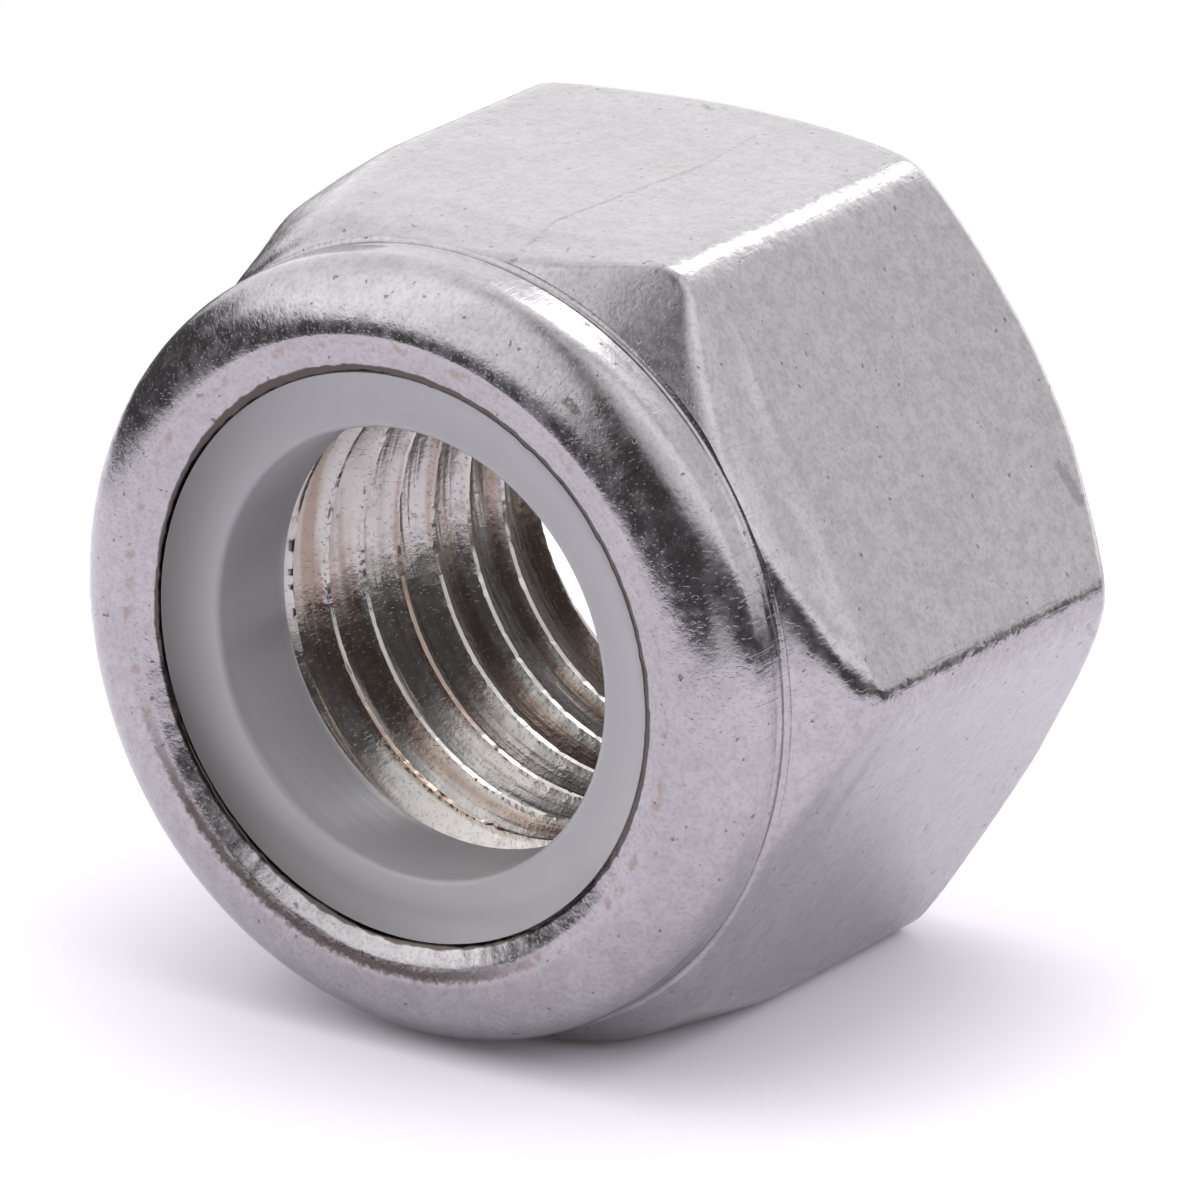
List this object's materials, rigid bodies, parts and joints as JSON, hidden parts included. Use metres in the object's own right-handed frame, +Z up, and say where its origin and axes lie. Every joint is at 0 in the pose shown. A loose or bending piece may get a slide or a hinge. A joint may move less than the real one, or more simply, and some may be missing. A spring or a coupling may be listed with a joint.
{
  "type": "nylon insert lock nut",
  "caption": "Stainless steel hex lock nut with a rolled round collar that holds a nylon ring gripping the bolt's thread.",
  "frame": {"origin": "the nut's centre: on the thread axis, half way between the bearing face and the top of the collar", "axes": "+Y along the thread axis towards the bearing face, so the collar with the nylon ring is at -Y; +Z up; one hex flat is level at the top and one at the bottom, on which the nut lies"},
  "size_m": [0.0162, 0.011, 0.0142],
  "materials": {
    "steel": "satin tumbled stainless steel with fine pits and scratches",
    "nylon": "smooth pale grey-white nylon, slightly translucent"
  },
  "bodies": {
    "root": {"hex_body": "steel", "nylon_ring": "nylon"}
  },
  "joints": []
}
